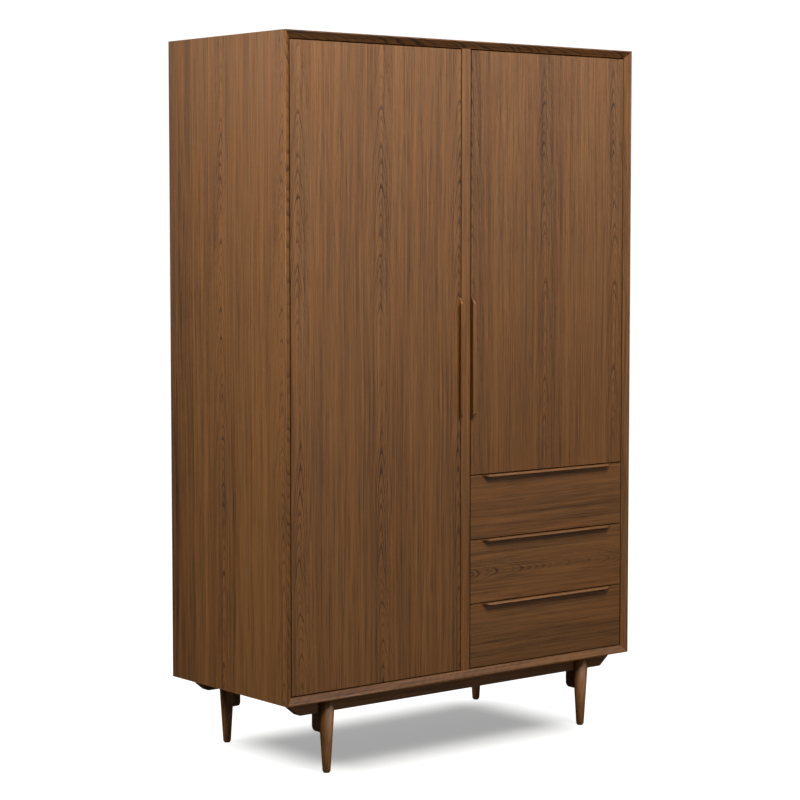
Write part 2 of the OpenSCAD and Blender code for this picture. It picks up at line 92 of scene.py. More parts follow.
# %% Finish kit
class Finish:
    """A material in the making: each method adds a node and returns its output."""

    def __init__(self, name):
        self.material = bpy.data.materials.new(name)
        self.material.use_nodes = True
        self.tree = self.material.node_tree
        self.shader = self.tree.nodes["Principled BSDF"]

    def plug(self, socket, value):
        if isinstance(value, bpy.types.NodeSocket):
            self.tree.links.new(value, socket)
        else:
            socket.default_value = value

    def node(self, kind, inputs=None, **settings):
        made = self.tree.nodes.new("ShaderNode" + kind)
        for key, value in settings.items():
            setattr(made, key, value)
        for key, value in (inputs or {}).items():
            self.plug(made.inputs[key], value)
        return made

    def place(self):
        """The three coordinates of the surface, in metres, in the frame of the object."""
        where = self.node("TexCoord").outputs["Object"]
        return self.node("SeparateXYZ", {"Vector": where}).outputs

    def calc(self, operation, *values):
        made = self.node("Math", operation=operation)
        for socket, value in zip(made.inputs, values):
            self.plug(socket, value)
        return made.outputs["Value"]

    def vector(self, x, y, z):
        return self.node("CombineXYZ", {"X": x, "Y": y, "Z": z}).outputs["Vector"]

    def noise(self, vector, detail=2.0, rough=0.5):
        """Soft random clouds about one unit wide, between 0 and 1."""
        settings = {"Vector": vector, "Scale": 1.0, "Detail": detail, "Roughness": rough}
        return self.node("TexNoise", settings).outputs[0]

    def random(self, number):
        """Three random numbers that stay the same for the same whole number."""
        made = self.node("TexWhiteNoise", {"W": number}, noise_dimensions="1D")
        return self.node("SeparateColor", {"Color": made.outputs["Color"]}).outputs

    def fade(self, value, start, end, low=0.0, high=1.0):
        """A soft step from low to high as the value goes from start to end."""
        inputs = {"Value": value, "From Min": start, "From Max": end, "To Min": low, "To Max": high}
        return self.node("MapRange", inputs, interpolation_type="SMOOTHSTEP").outputs["Result"]

    def ramp(self, value, stops):
        made = self.node("ValToRGB", {"Fac": value})
        elements = made.color_ramp.elements
        while len(elements) < len(stops):
            elements.new(0.5)
        for element, (position, color) in zip(elements, stops):
            element.position = position
            element.color = (*color, 1.0)
        return made.outputs["Color"]

    def tint(self, factor, first, second, blend="MIX"):
        made = self.node("Mix", data_type="RGBA", blend_type=blend)
        colors = [(*c, 1.0) if isinstance(c, tuple) else c for c in (first, second)]
        for socket, value in zip((made.inputs[0], made.inputs[6], made.inputs[7]), (factor, *colors)):
            self.plug(socket, value)
        return made.outputs[2]

    def done(self, color, roughness, height, depth_of_bump):
        """Plugs colour, roughness and bump into the shader and returns the material."""
        self.plug(self.shader.inputs["Base Color"], color)
        self.plug(self.shader.inputs["Roughness"], roughness)
        bump = self.node("Bump", {"Strength": 1.0, "Distance": depth_of_bump, "Height": height})
        self.plug(self.shader.inputs["Normal"], bump.outputs["Normal"])
        return self.material


# %% [markdown]
# ## Stained oak
#
# Oak veneer is sliced from a log, and the pattern on it is where the slice cuts the growth
# rings. The trunk tapers, so a slice is never quite parallel to its rings. Down the middle of
# a leaf it climbs slowly from ring to ring and shows pointed arches, and beside them the
# rings are nearly straight lines. Because the slices are laid side by side as they come off
# the log, each leaf shows nearly the same arches as its neighbour.
#
# An image of wood would stop at the edge of a board. A sum in the graph gives the grain on
# every side: the ring that a point lies in grows with its distance from the middle of the
# arches, with its place along the board and with its depth in it. Each ring starts with a
# porous band that drinks the stain and goes dark. Fine dashes on top are the pores
# themselves, and slow clouds give the boards their uneven tone.

# %% Oak
EDGE_WEAR_AND_HIGHLIGHT = "edge_wear_and_highlight"
STAIN = (
    (0.00, (0.320, 0.141, 0.042)),
    (0.36, (0.208, 0.088, 0.024)),
    (0.68, (0.112, 0.045, 0.012)),
    (1.00, (0.030, 0.013, 0.005)),
)

# The width and the length of each kind of mark in the grain, in metres
PORES = (0.0008, 0.016)
DASHES = (0.0022, 0.120)
FINE_STREAKS = (0.0032, 0.26)
MIDDLE_STREAKS = (0.0085, 0.70)
BROAD_STREAKS = (0.030, 1.90)
CLOUDS = (0.11, 0.90)
RUBBED_SPOTS = (0.012, 0.05)
RIPPLES = (0.007, 0.045)
BENDS = (0.35, 0.80)
WARM_SPOTS = (0.06, 0.45)
PORE_DEPTH = 0.00018


def oak(name, layout, middle, leaf=0.262, heart=0.0, near=0.010, climb=0.115, ring=0.0042,
        seed=1.0, tone=0.0, contrast=1.0, painted_shade_lean=0.0):
    """Oak whose grain runs along the last letter of layout. The letters say which axis of the
    armoire lies across the grain, which goes into the board and which runs along the grain.
    A leaf of veneer is centred at `middle` on the first of them. `heart` is how far beside
    that middle the arches stand, `near` how blunt their tips are and `climb` how fast the
    slice cuts up through the rings. `painted_shade_lean` paints shade across the board, darker
    from one side to the other along the first axis."""
    make = Finish(name)
    axis = make.place()
    across, depth, along = (axis["XYZ".index(letter)] for letter in layout)

    # Which leaf of veneer this is, and how far from its middle
    count = make.calc("MULTIPLY_ADD", across, 1.0 / leaf, 0.5 - middle / leaf)
    number = make.calc("FLOOR", count)
    chance = make.random(make.calc("ADD", number, 50.0 * seed))
    offset = make.calc("SUBTRACT", count, make.calc("ADD", number, 0.5))
    offset = make.calc("MULTIPLY", offset, leaf)
    slice_shift = make.calc("MULTIPLY_ADD", number, 0.11, 7.7 * seed)

    # The trunk bends slowly, and the grain ripples finely
    def wave(width, length, detail=2.0):
        return make.noise(make.vector(
            make.calc("DIVIDE", offset, width), slice_shift, make.calc("DIVIDE", along, length)), detail)

    ripple = wave(*RIPPLES, 3.0)
    bend = make.calc("MULTIPLY_ADD", wave(*BENDS), 0.044, -0.022)
    side = make.calc("ADD", make.calc("SUBTRACT", offset, heart), bend)
    side = make.calc("ADD", side, make.calc("MULTIPLY_ADD", ripple, 0.005, -0.0025))
    streak_side = make.calc("MULTIPLY_ADD", bend, 0.35, offset)

    # How deep in the rings a point lies: arches that climb along the board
    arch = make.calc("SQRT", make.calc("MULTIPLY_ADD", side, side, near * near))
    swell = make.noise(make.vector(slice_shift, 3.1 * seed, make.calc("MULTIPLY", along, 1.3)), 2.0)
    radius = make.calc("MULTIPLY_ADD", swell, 0.050, arch)
    radius = make.calc("MULTIPLY_ADD", ripple, 0.0035, radius)
    radius = make.calc("MULTIPLY_ADD", along, climb, radius)
    radius = make.calc("MULTIPLY_ADD", depth, 0.5, radius)
    uneven = make.noise(make.vector(make.calc("MULTIPLY", radius, 90.0), 5.0 * seed, 0.5))
    rings = make.calc("ADD", make.calc("DIVIDE", radius, ring), make.calc("MULTIPLY", uneven, 1.6))
    ring_number = make.calc("FLOOR", rings)
    within = make.calc("SUBTRACT", rings, ring_number)
    ring_chance = make.random(make.calc("ADD", ring_number, 31.0 * seed))

    # The porous band: dark at once where the ring begins, then fading
    band = make.fade(within, 0.0, 0.55, 1.0, 0.0)
    band = make.calc("MULTIPLY", band, make.calc("MULTIPLY_ADD", ring_chance[0], 0.85, 0.15))
    flame = make.fade(make.calc("ABSOLUTE", side), 0.012, 0.046, 1.0, 0.26)
    gust = make.noise(make.vector(slice_shift, 9.7 * seed, make.calc("MULTIPLY", along, 1.6)), 1.0)
    flame = make.calc("MULTIPLY", flame, make.fade(gust, 0.34, 0.54, 0.35, 1.0))
    band = make.calc("MULTIPLY", band, flame)

    # Pores, streaks and clouds, each long and narrow along the grain
    def stretched(width, length, detail=2.0):
        return make.noise(make.vector(
            make.calc("DIVIDE", streak_side, width),
            make.calc("MULTIPLY_ADD", depth, 1.0 / width, slice_shift),
            make.calc("DIVIDE", along, length)), detail)

    pores = make.fade(stretched(*PORES), 0.55, 0.68)
    dashes = make.fade(stretched(*DASHES, 1.0), 0.55, 0.65)
    fine = stretched(*FINE_STREAKS, 3.0)
    middle_streaks = stretched(*MIDDLE_STREAKS, 3.0)
    broad = stretched(*BROAD_STREAKS)
    cloud = stretched(*CLOUDS)

    dark = make.calc("MULTIPLY_ADD", band, 0.74 * contrast, 0.215 + tone)
    for part, weight in ((fine, 1.05), (middle_streaks, 0.65), (broad, 0.45), (cloud, 0.25)):
        level = make.calc("MULTIPLY_ADD", part, weight * contrast, -0.5 * weight * contrast)
        dark = make.calc("ADD", dark, level)
    leaf_tone = make.calc("MULTIPLY_ADD", chance[1], 0.12 * contrast, -0.06 * contrast)
    dark = make.calc("ADD", dark, leaf_tone)
    joint = make.fade(make.calc("ABSOLUTE", offset), leaf / 2.0 - 0.0012, leaf / 2.0 - 0.0002)
    dark = make.calc("ADD", dark, make.calc("MULTIPLY", joint, 0.14))
    dark = make.calc("ADD", dark, make.calc("MULTIPLY", dashes, 0.22 * contrast))
    # Painted shade: darker from one side of the board to the other along its first axis.
    dark = make.calc("MULTIPLY_ADD", across, painted_shade_lean, dark)
    pore_weight = make.calc("MULTIPLY_ADD", band, 0.25, 0.16)
    dark = make.calc("ADD", dark, make.calc("MULTIPLY", pores, pore_weight))

    # Rounded edges are sanded and handled, so they are a little smoother, and they are painted paler: partly
    # wear, partly a painted highlight along the edge
    wear_and_highlight_mask = make.node("Attribute", attribute_name=EDGE_WEAR_AND_HIGHLIGHT).outputs["Fac"]
    rub_and_highlight = make.fade(stretched(*RUBBED_SPOTS), 0.25, 0.75, 0.08, 0.26)
    dark = make.calc("SUBTRACT", dark, make.calc("MULTIPLY", wear_and_highlight_mask, rub_and_highlight))

    color = make.ramp(dark, STAIN)
    warmth = make.fade(wave(*WARM_SPOTS), 0.3, 0.7, 0.0, 0.6)
    color = make.tint(warmth, color, (1.06, 0.95, 0.84), "MULTIPLY")

    roughness = make.calc("MULTIPLY_ADD", band, 0.10, 0.42)
    roughness = make.calc("ADD", roughness, make.calc("MULTIPLY", fine, 0.08))
    roughness = make.calc("SUBTRACT", roughness, make.calc("MULTIPLY", wear_and_highlight_mask, 0.06))
    height = make.calc("MULTIPLY_ADD", pores, -1.0, make.calc("MULTIPLY", band, -0.6))
    make.shader.inputs["Specular IOR Level"].default_value = 0.5
    return make.done(color, roughness, height, PORE_DEPTH)


# %% [markdown]
# ## Birch plywood
#
# Drawer boxes are birch plywood: pale, quiet faces and striped edges, where thin veneers lie
# crosswise in turn. The shader tells a face from an edge by the direction of the surface.

# %% Birch plywood
def birch_ply(name, layout, low_face, thickness, plies, seed=1.0):
    """Plywood whose middle letter of layout is the axis through its thickness."""
    make = Finish(name)
    axis = make.place()
    across, depth, along = (axis["XYZ".index(letter)] for letter in layout)
    direction = make.node("SeparateXYZ", {"Vector": make.node("TexCoord").outputs["Normal"]}).outputs
    on_edge = make.fade(make.calc("ABSOLUTE", direction["XYZ".index(layout[1])]), 0.3, 0.6, 1.0, 0.0)
    layer = make.calc("MULTIPLY_ADD", depth, plies / thickness, -low_face * plies / thickness + 0.001)
    odd = make.calc("GREATER_THAN", make.calc("PINGPONG", layer, 1.0), 0.5)
    swirl = make.noise(make.vector(
        make.calc("MULTIPLY", across, 12.0), seed, make.calc("MULTIPLY", along, 2.0)), 3.0)
    lines = make.noise(make.vector(
        make.calc("MULTIPLY_ADD", across, 260.0, make.calc("MULTIPLY", swirl, 14.0)),
        seed, make.calc("MULTIPLY", along, 9.0)), 3.0)
    face = make.ramp(lines, ((0.25, (0.50, 0.345, 0.195)), (0.75, (0.66, 0.50, 0.32))))
    specks = make.noise(make.vector(
        make.calc("MULTIPLY", across, 900.0), make.calc("MULTIPLY", depth, 900.0),
        make.calc("MULTIPLY", along, 900.0)), 1.0)
    stripe = make.tint(odd, (0.56, 0.40, 0.235), (0.34, 0.205, 0.105))
    speck_shade = make.fade(specks, 0.3, 0.7, 0.0, 0.5)
    stripe = make.tint(speck_shade, stripe, (0.72, 0.66, 0.60), "MULTIPLY")
    color = make.tint(on_edge, face, stripe)
    roughness = make.calc("MULTIPLY_ADD", lines, 0.12, 0.46)
    return make.done(color, roughness, lines, 0.00008)


# %% [markdown]
# ## Metal and nylon
#
# Hinges and slides are zinc-plated steel. The plating is bright but cloudy, with fine drawing
# marks along the profile. The hanging rod is lacquered almost black, and the glides under the
# legs are black nylon with the dull skin that moulding leaves.

# %% Metal and nylon
def zinc_steel(name, along_axis, bright=0.62):
    make = Finish(name)
    axis = make.place()
    stretch = [700.0, 700.0, 700.0]
    stretch["XYZ".index(along_axis)] = 12.0
    marks = make.noise(make.vector(*(make.calc("MULTIPLY", a, s) for a, s in zip(axis, stretch))), 3.0)
    clouds = make.noise(make.vector(*(make.calc("MULTIPLY", a, 60.0) for a in axis)), 4.0)
    color = make.ramp(clouds, (
        (0.30, (0.80 * bright, 0.82 * bright, 0.86 * bright)),
        (0.70, (1.00 * bright, 1.00 * bright, 0.99 * bright))))
    rough = make.calc("MULTIPLY_ADD", marks, 0.16, 0.34)
    rough = make.calc("ADD", rough, make.calc("MULTIPLY", clouds, 0.10))
    make.shader.inputs["Metallic"].default_value = 1.0
    return make.done(color, rough, marks, 0.00003)


def lacquered_rod(name):
    make = Finish(name)
    axis = make.place()
    peel = make.noise(make.vector(*(make.calc("MULTIPLY", a, 900.0) for a in axis)), 2.0)
    scuffs = make.noise(make.vector(
        make.calc("MULTIPLY", axis[0], 300.0), make.calc("MULTIPLY", axis[1], 30.0),
        make.calc("MULTIPLY", axis[2], 30.0)), 4.0)
    rubbed = make.fade(scuffs, 0.55, 0.75)
    color = make.tint(rubbed, (0.020, 0.018, 0.016), (0.060, 0.055, 0.050))
    roughness = make.calc("MULTIPLY_ADD", rubbed, 0.12, 0.30)
    make.shader.inputs["Coat Weight"].default_value = 0.3
    make.shader.inputs["Coat Roughness"].default_value = 0.15
    return make.done(color, roughness, peel, 0.00003)


def black_nylon(name):
    make = Finish(name)
    axis = make.place()
    grain = make.noise(make.vector(*(make.calc("MULTIPLY", a, 1600.0) for a in axis)), 2.0)
    dust = make.noise(make.vector(*(make.calc("MULTIPLY", a, 70.0) for a in axis)), 4.0)
    color = make.ramp(dust, ((0.35, (0.016, 0.015, 0.014)), (0.75, (0.036, 0.033, 0.030))))
    roughness = make.calc("MULTIPLY_ADD", grain, 0.18, 0.46)
    return make.done(color, roughness, grain, 0.00005)


# %% [markdown]
# ## Softened edges and pieces
#
# No board keeps a knife-sharp edge: it would chip, and it would look drawn rather than made.
# Every edge gets a small rounding. Its faces are shaded smooth and the broad faces stay flat, so
# the rounding catches a thin line of light without any false shading on the board. The new
# faces are also marked, and the oak paints them paler: partly wear, partly a painted highlight
# along the edge. Two more helpers pull an outline out to a bar and saw the ends of a bar off,
# and the last ones turn the result into an object.

# %% Softening
ROUND_STEPS = 3
CORNER = math.radians(25.0)
ROUND_RIM = math.radians(60.0)
HAIR = 1e-5


def soften(bm, edges, radius, steps=ROUND_STEPS):
    """Rounds the edges given and marks the new faces for paler wear and a painted highlight."""
    wear_and_highlight_layer = bm.faces.layers.float.get(EDGE_WEAR_AND_HIGHLIGHT) or bm.faces.layers.float.new(EDGE_WEAR_AND_HIGHLIGHT)
    made = bmesh.ops.bevel(
        bm, geom=edges, offset=radius, offset_type="OFFSET", segments=steps,
        profile=0.5, affect="EDGES", material=-1, clamp_overlap=True)
    for face in made["faces"]:
        face.smooth = True
        face[wear_and_highlight_layer] = 1.0


def faces_meeting_sharply(bm, least_angle=CORNER):
    """The edges where two faces turn by more than the angle given."""
    return [e for e in bm.edges if len(e.link_faces) == 2 and e.calc_face_angle() > least_angle]


def pulled_out(bm, faces, shift):
    """Extrudes faces and moves the new ones by the shift."""
    made = bmesh.ops.extrude_face_region(bm, geom=faces)
    moved = [v for v in made["geom"] if isinstance(v, bmesh.types.BMVert)]
    bmesh.ops.translate(bm, vec=shift, verts=moved)


def sawn_off(bm, place, outward):
    """Cuts a closed bar with a plane, drops the part outside it and closes the cut."""
    everything = bm.verts[:] + bm.edges[:] + bm.faces[:]
    cut = bmesh.ops.bisect_plane(
        bm, geom=everything, plane_co=place, plane_no=outward, clear_outer=True)
    rim = [e for e in cut["geom_cut"] if isinstance(e, bmesh.types.BMEdge)]
    bmesh.ops.edgeloop_fill(bm, edges=rim)


def add_slab(bm, low, high, radius):
    """A board between two corners, with all its edges softened."""
    made = bmesh.ops.create_cube(bm, size=1.0)
    bmesh.ops.scale(bm, vec=high - low, verts=made["verts"])
    bmesh.ops.translate(bm, vec=(low + high) / 2.0, verts=made["verts"])
    edges = {e for v in made["verts"] for e in v.link_edges}
    soften(bm, sorted(edges, key=lambda e: e.index), radius)


def piece(name, bm, body, node, material):
    """Makes an object of the bmesh, which rides on a body and may stand for a CAD node."""
    mesh = bpy.data.meshes.new(name)
    bm.to_mesh(mesh)
    bm.free()
    mesh.materials.append(material)
    made = bpy.data.objects.new(name, mesh)
    bpy.context.scene.collection.objects.link(made)
    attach(made, body)
    if node:
        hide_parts(node)
    print(name, len(mesh.polygons), "faces")
    return made


def slab_piece(name, node, body, material, radius):
    """One board with the size and place of a CAD node."""
    bm = bmesh.new()
    low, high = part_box(node)
    add_slab(bm, low, high, radius)
    return piece(name, bm, body, node, material)


# %% [markdown]
# ## Cutting one piece with another
#
# Holes and notches are cut as in the workshop: a tool of the right shape is held in place and
# taken away from the board. The Boolean modifier does this, and its result is kept as the
# board's own mesh.

# %% Cutting
def carve(target, cutters):
    """Takes the cutters away from the target. Each cutter is a bmesh, used up here."""
    tool_mesh = bpy.data.meshes.new("cutter")
    joined = bmesh.new()
    for cutter in cutters:
        cutter.to_mesh(tool_mesh)
        cutter.free()
        joined.from_mesh(tool_mesh)
    joined.to_mesh(tool_mesh)
    joined.free()
    tool = bpy.data.objects.new("cutter", tool_mesh)
    bpy.context.scene.collection.objects.link(tool)
    cut = target.modifiers.new("cut", "BOOLEAN")
    cut.object = tool
    cut.operation = "DIFFERENCE"
    cut.solver = "EXACT"
    bpy.context.view_layer.update()
    graph = bpy.context.evaluated_depsgraph_get()
    result = bpy.data.meshes.new_from_object(target.evaluated_get(graph))
    target.modifiers.remove(cut)
    target.data = result
    bpy.data.objects.remove(tool)
    bpy.data.meshes.remove(tool_mesh)


def cylinder(start, axis, length, radius, steps=48, end_radius=None):
    """A round bar from a point along an axis letter, as a new bmesh."""
    bm = bmesh.new()
    turn = {
        "X": Matrix.Rotation(math.radians(90.0), 4, "Y"),
        "Y": Matrix.Rotation(math.radians(-90.0), 4, "X"),
        "Z": Matrix.Identity(4),
    }[axis]
    shift = Matrix.Translation(start) @ turn @ Matrix.Translation((0.0, 0.0, length / 2.0))
    bmesh.ops.create_cone(
        bm, cap_ends=True, segments=steps, radius1=radius,
        radius2=radius if end_radius is None else end_radius, depth=length, matrix=shift)
    return bm


# %% [markdown]
# ## The carcass
#
# The four outer boards are mitred at the corners, so no end grain shows. Their front edge is
# special: a flat lip of four millimetres, and then a bevel that slopes back to the doors, so
# that a 20 mm board looks thin. All four share one section. It is drawn once as a few
# vertices, pulled out along the board and cut off at 45 degrees at each end.

# %% Carcass boards
outer_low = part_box("bottom_panel")[0]
outer_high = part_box("top_panel")[1]
back_sheet_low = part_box("left_back_panel")[0]
door_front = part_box("left_door_panel")[0].y
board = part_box("bottom_panel")[1].z - outer_low.z
outer_w = outer_high.x - outer_low.x
outer_h = outer_high.z - outer_low.z
outer_middle_z = (outer_high.z + outer_low.z) / 2.0
lip = 4 * MM
BOARD_EASE = 0.7 * MM
SAW_SPARE = 5 * MM
rebate = outer_low.z + board - back_sheet_low.z
print("board", round(board, 4), "rebate", round(rebate, 4), "outside", round(outer_w, 3), round(outer_h, 3))


def frame_board(length):
    """A carcass board along X, its outer face on z = 0 and its inner face above it."""
    front = outer_low.y
    back = outer_high.y
    shoulder = back_sheet_low.y
    outline = (
        (front, 0.0), (front, lip), (door_front, board), (shoulder, board),
        (shoulder, board - rebate), (back, board - rebate), (back, 0.0))
    bm = bmesh.new()
    corners = [bm.verts.new((-length / 2.0 - SAW_SPARE, y, z)) for y, z in outline]
    end = bm.faces.new(corners)
    pulled_out(bm, [end], (length + 2.0 * SAW_SPARE, 0.0, 0.0))
    for side in (-1.0, 1.0):
        sawn_off(bm, (side * length / 2.0, 0.0, 0.0), (side, 0.0, 1.0))
    bmesh.ops.recalc_face_normals(bm, faces=bm.faces)
    long_edges = [e for e in bm.edges if e.calc_length() > length / 2.0]
    soften(bm, long_edges, BOARD_EASE)
    return bm


def set_board(name, node, length, turn, place, material):
    """Turns a board about Y and moves its middle to its place in the carcass."""
    bm = frame_board(length)
    move = Matrix.Translation(place) @ Matrix.Rotation(turn, 4, "Y")
    bmesh.ops.transform(bm, matrix=move, verts=bm.verts)
    return piece(name, bm, "carcass", node, material)


QUARTER = math.radians(90.0)
side_oak = {
    # The left side board gets painted shade that darkens it towards its back.
    "left": oak("left_side_oak", "YXZ", middle=0.021, leaf=0.265, seed=3.0, tone=0.04, painted_shade_lean=0.60),
    "right": oak("right_side_oak", "YXZ", middle=0.040, leaf=0.265, seed=4.0),
}
top_oak = oak("top_oak", "YZX", middle=0.02, leaf=0.27, near=0.012, seed=5.0, tone=0.06)
bottom_oak = oak("bottom_oak", "YZX", middle=0.05, leaf=0.27, heart=0.09, seed=6.0, tone=0.02)
set_board("bottom_board", "bottom_panel", outer_w, 0.0, (0.0, 0.0, outer_low.z), bottom_oak)
set_board("top_board", "top_panel", outer_w, 2.0 * QUARTER, (0.0, 0.0, outer_high.z), top_oak)
set_board("left_side_board", "left_side_panel", outer_h, QUARTER,
          (outer_low.x, 0.0, outer_middle_z), side_oak["left"])
set_board("right_side_board", "right_side_panel", outer_h, -QUARTER,
          (outer_high.x, 0.0, outer_middle_z), side_oak["right"])

# %% [markdown]
# ## Partition, shelves and back
#
# The partition stands between the doors and shows as a wide upright strip, flush with them.
# Shelves are the same oak as the inside of the carcass, a little paler because daylight and
# hands have not darkened them. The two thin back sheets lie in the rebate.

# %% Partition, shelves and back
PARTITION_EASE = 0.6 * MM
SHELF_EASE = 0.8 * MM
SHEET_EASE = 0.3 * MM
partition_oak = oak("partition_oak", "XYZ", middle=0.05, leaf=0.26, heart=0.11, seed=7.0)
shelf_oak = oak("shelf_oak", "YZX", middle=0.02, leaf=0.24, seed=8.0, tone=-0.10)
back_veneer = oak("back_veneer", "XYZ", middle=0.14, leaf=0.29, seed=9.0, tone=-0.12,
                  contrast=0.8)
slab_piece("partition_board", "centre_partition", "carcass", partition_oak, PARTITION_EASE)
for shelf, node in (("divider_board", "drawer_divider"), ("hat_shelf_board", "hat_shelf"),
                    ("upper_shelf_board", "upper_shelf"), ("lower_shelf_board", "lower_shelf")):
    slab_piece(shelf, node, "carcass", shelf_oak, SHELF_EASE)
for side in ("left", "right"):
    slab_piece(side + "_back_sheet", side + "_back_panel", "carcass", back_veneer,
               SHEET_EASE)

# %% [markdown]
# ## Doors
#
# These are flat veneered leaves, with the grain upright. They have round recesses in the back
# for the hinge cups, which are bored here with the same 35 mm tool that a joiner uses.

# %% Door leaves
CUP_RADIUS = 17.5 * MM
CUP_DEPTH = 13 * MM
CUP_FLANGE_HALF = 28 * MM
EASE = 0.5 * MM


def door_leaf(side, hinges, material):
    """A door with one bore for each hinge, evenly spaced."""
    node = side + "_door_panel"
    low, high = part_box(node)
    made = slab_piece(side + "_door_leaf", node, side + "_door", material, EASE)
    cups_low, cups_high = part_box(side + "_hinge_cups")
    middle_x = (cups_low.x + cups_high.x) / 2.0
    first = cups_low.z + CUP_FLANGE_HALF
    pitch = (cups_high.z - CUP_FLANGE_HALF - first) / (hinges - 1)
    bores = [
        cylinder((middle_x, high.y - CUP_DEPTH, first + i * pitch), "Y", CUP_DEPTH + EASE, CUP_RADIUS)
        for i in range(hinges)]
    carve(made, bores)
    return made


left_door_oak = oak("left_door_oak", "XYZ", middle=-0.287, seed=10.0)
right_door_oak = oak("right_door_oak", "XYZ", middle=0.284, seed=11.0, tone=-0.02)
door_leaf("left", 4, left_door_oak)
door_leaf("right", 3, right_door_oak)

# %% [markdown]
# ## Drawer fronts
#
# The three fronts are the same kind of leaf, but with the grain level. Only the middle one is
# cut through the arches. On the other two the heart lies above the front, so their lines run
# nearly straight.

# %% Drawer fronts
DRAWERS = ("lower", "middle", "upper")
FRONT_HEARTS = (0.20, -0.01, 0.24)
for i, drawer in enumerate(DRAWERS):
    low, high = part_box(drawer + "_drawer_front")
    front_oak = oak(
        drawer + "_front_oak", "ZYX", middle=(low.z + high.z) / 2.0, leaf=0.60,
        heart=FRONT_HEARTS[i], near=0.016, climb=0.14, seed=12.0 + i, tone=0.02)
    slab_piece(drawer + "_drawer_face", drawer + "_drawer_front", drawer + "_drawer",
               front_oak, EASE)

# %% [markdown]
# ## Pulls
#
# Each pull is a slim bar of solid oak along the edge of its door or drawer. A round groove
# behind its lip is where the fingers hook in, and both ends are sloped back to the leaf. The
# front slopes a little towards the free edge, and on the drawers the lip is narrower than
# the root, so that a cove is left under it. The section starts as a vertex that is spun into
# the arc of the groove; the rest of the outline joins it, the bar is pulled out, and two
# plane cuts slope the ends.

# %% Pulls
PULL_ROOT = 1.5 * MM
PULL_SLOPE = 18 * MM
PULL_FREE_EDGE = 0.76
LEVEL_COVE = 3.0 * MM
GROOVE_STEPS = 10
GROOVE_SHARE = 0.35
FRONT_SHARE = 0.70
PULL_EASE = 0.8 * MM


def pull_bar(length, width, out, lip_width):
    """A pull along Z about the origin. X runs in from the leaf's free edge, -Y out of its face."""
    groove = out * GROOVE_SHARE
    inset = groove / 3.0
    centre = Vector((lip_width + inset, -groove, 0.0))
    reach = math.sqrt(groove ** 2 - inset ** 2)
    bm = bmesh.new()
    start = bm.verts.new((lip_width, -groove - reach, 0.0))
    sweep = 2.0 * math.atan2(reach, inset)
    spun = bmesh.ops.spin(
        bm, geom=[start], cent=centre, axis=(0.0, 0.0, 1.0), angle=-sweep, steps=GROOVE_STEPS)
    last = next(v for v in spun["geom_last"] if isinstance(v, bmesh.types.BMVert))
    path = [bm.verts.new(place) for place in (
        (width, 0.0, 0.0), (0.0, 0.0, 0.0), (0.0, -out * PULL_FREE_EDGE, 0.0), (lip_width, -out, 0.0))]
    for a, b in zip([last] + path, path + [start]):
        bm.edges.new((a, b))
    bmesh.ops.edgeloop_fill(bm, edges=bm.edges[:])
    bmesh.ops.translate(bm, vec=(0.0, 0.0, -length / 2.0), verts=bm.verts)
    pulled_out(bm, bm.faces[:], (0.0, 0.0, length))
    for side in (-1.0, 1.0):
        end = (0.0, -PULL_ROOT, side * length / 2.0)
        sawn_off(bm, end, (0.0, -PULL_SLOPE, side * (out - PULL_ROOT)))
    bmesh.ops.recalc_face_normals(bm, faces=bm.faces)
    front = [e for e in faces_meeting_sharply(bm) if all(v.co.y < -out * FRONT_SHARE for v in e.verts)]
    soften(bm, front, PULL_EASE)
    return bm


def set_pull(name, node, body, along, material):
    """Turns and places a pull so that it fills the box of its CAD node."""
    low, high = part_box(node)
    length = (high - low)["XYZ".index(along)]
    width = (high.z - low.z) if along == "X" else (high.x - low.x)
    lip_width = width - LEVEL_COVE if along == "X" else width
    bm = pull_bar(length, width, high.y - low.y, lip_width)
    if along == "X":
        turn = Matrix.Rotation(QUARTER, 4, "Y")
        place = Vector(((low.x + high.x) / 2.0, high.y, high.z))
    else:
        turn = Matrix.Identity(4)
        place = Vector((low.x, high.y, (low.z + high.z) / 2.0))
        if low.x < 0.0:
            turn = Matrix.Scale(-1.0, 4, (1.0, 0.0, 0.0))
            place.x = high.x
    bmesh.ops.transform(bm, matrix=Matrix.Translation(place) @ turn, verts=bm.verts)
    bmesh.ops.recalc_face_normals(bm, faces=bm.faces)
    return piece(name, bm, body, node, material)


upright_pull_oak = oak("upright_pull_oak", "XYZ", middle=0.0, leaf=0.4, heart=0.16, climb=0.02,
                       seed=17.0, tone=-0.12)
level_pull_oak = oak("level_pull_oak", "ZYX", middle=0.4, leaf=1.2, heart=0.7, climb=0.02,
                     seed=18.0, tone=0.06)
for side in ("left", "right"):
    set_pull(side + "_door_grip", side + "_door_pull", side + "_door", "Z", upright_pull_oak)
for drawer in DRAWERS:
    set_pull(drawer + "_drawer_grip", drawer + "_drawer_pull", drawer + "_drawer", "X", level_pull_oak)

# %% [markdown]
# ## Legs
#
# Four turned legs taper from the carcass down to a small rounded foot. A lathe spins the wood
# against a tool, and the spin operator does the same with half an outline.

# %% Legs
LEG_STEPS = 64
FOOT_RADIUS = 10.5 * MM
FOOT_ROUND = 2 * MM
FOOT_STEPS = 4
WELD = 0.01 * MM
LEG_NAMES = ("front_left_leg", "front_right_leg", "rear_left_leg", "rear_right_leg")


def leg_axis(node):
    """The middle of the foot of a leg."""
    low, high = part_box(node)
    return Vector(((low.x + high.x) / 2.0, (low.y + high.y) / 2.0, low.z))


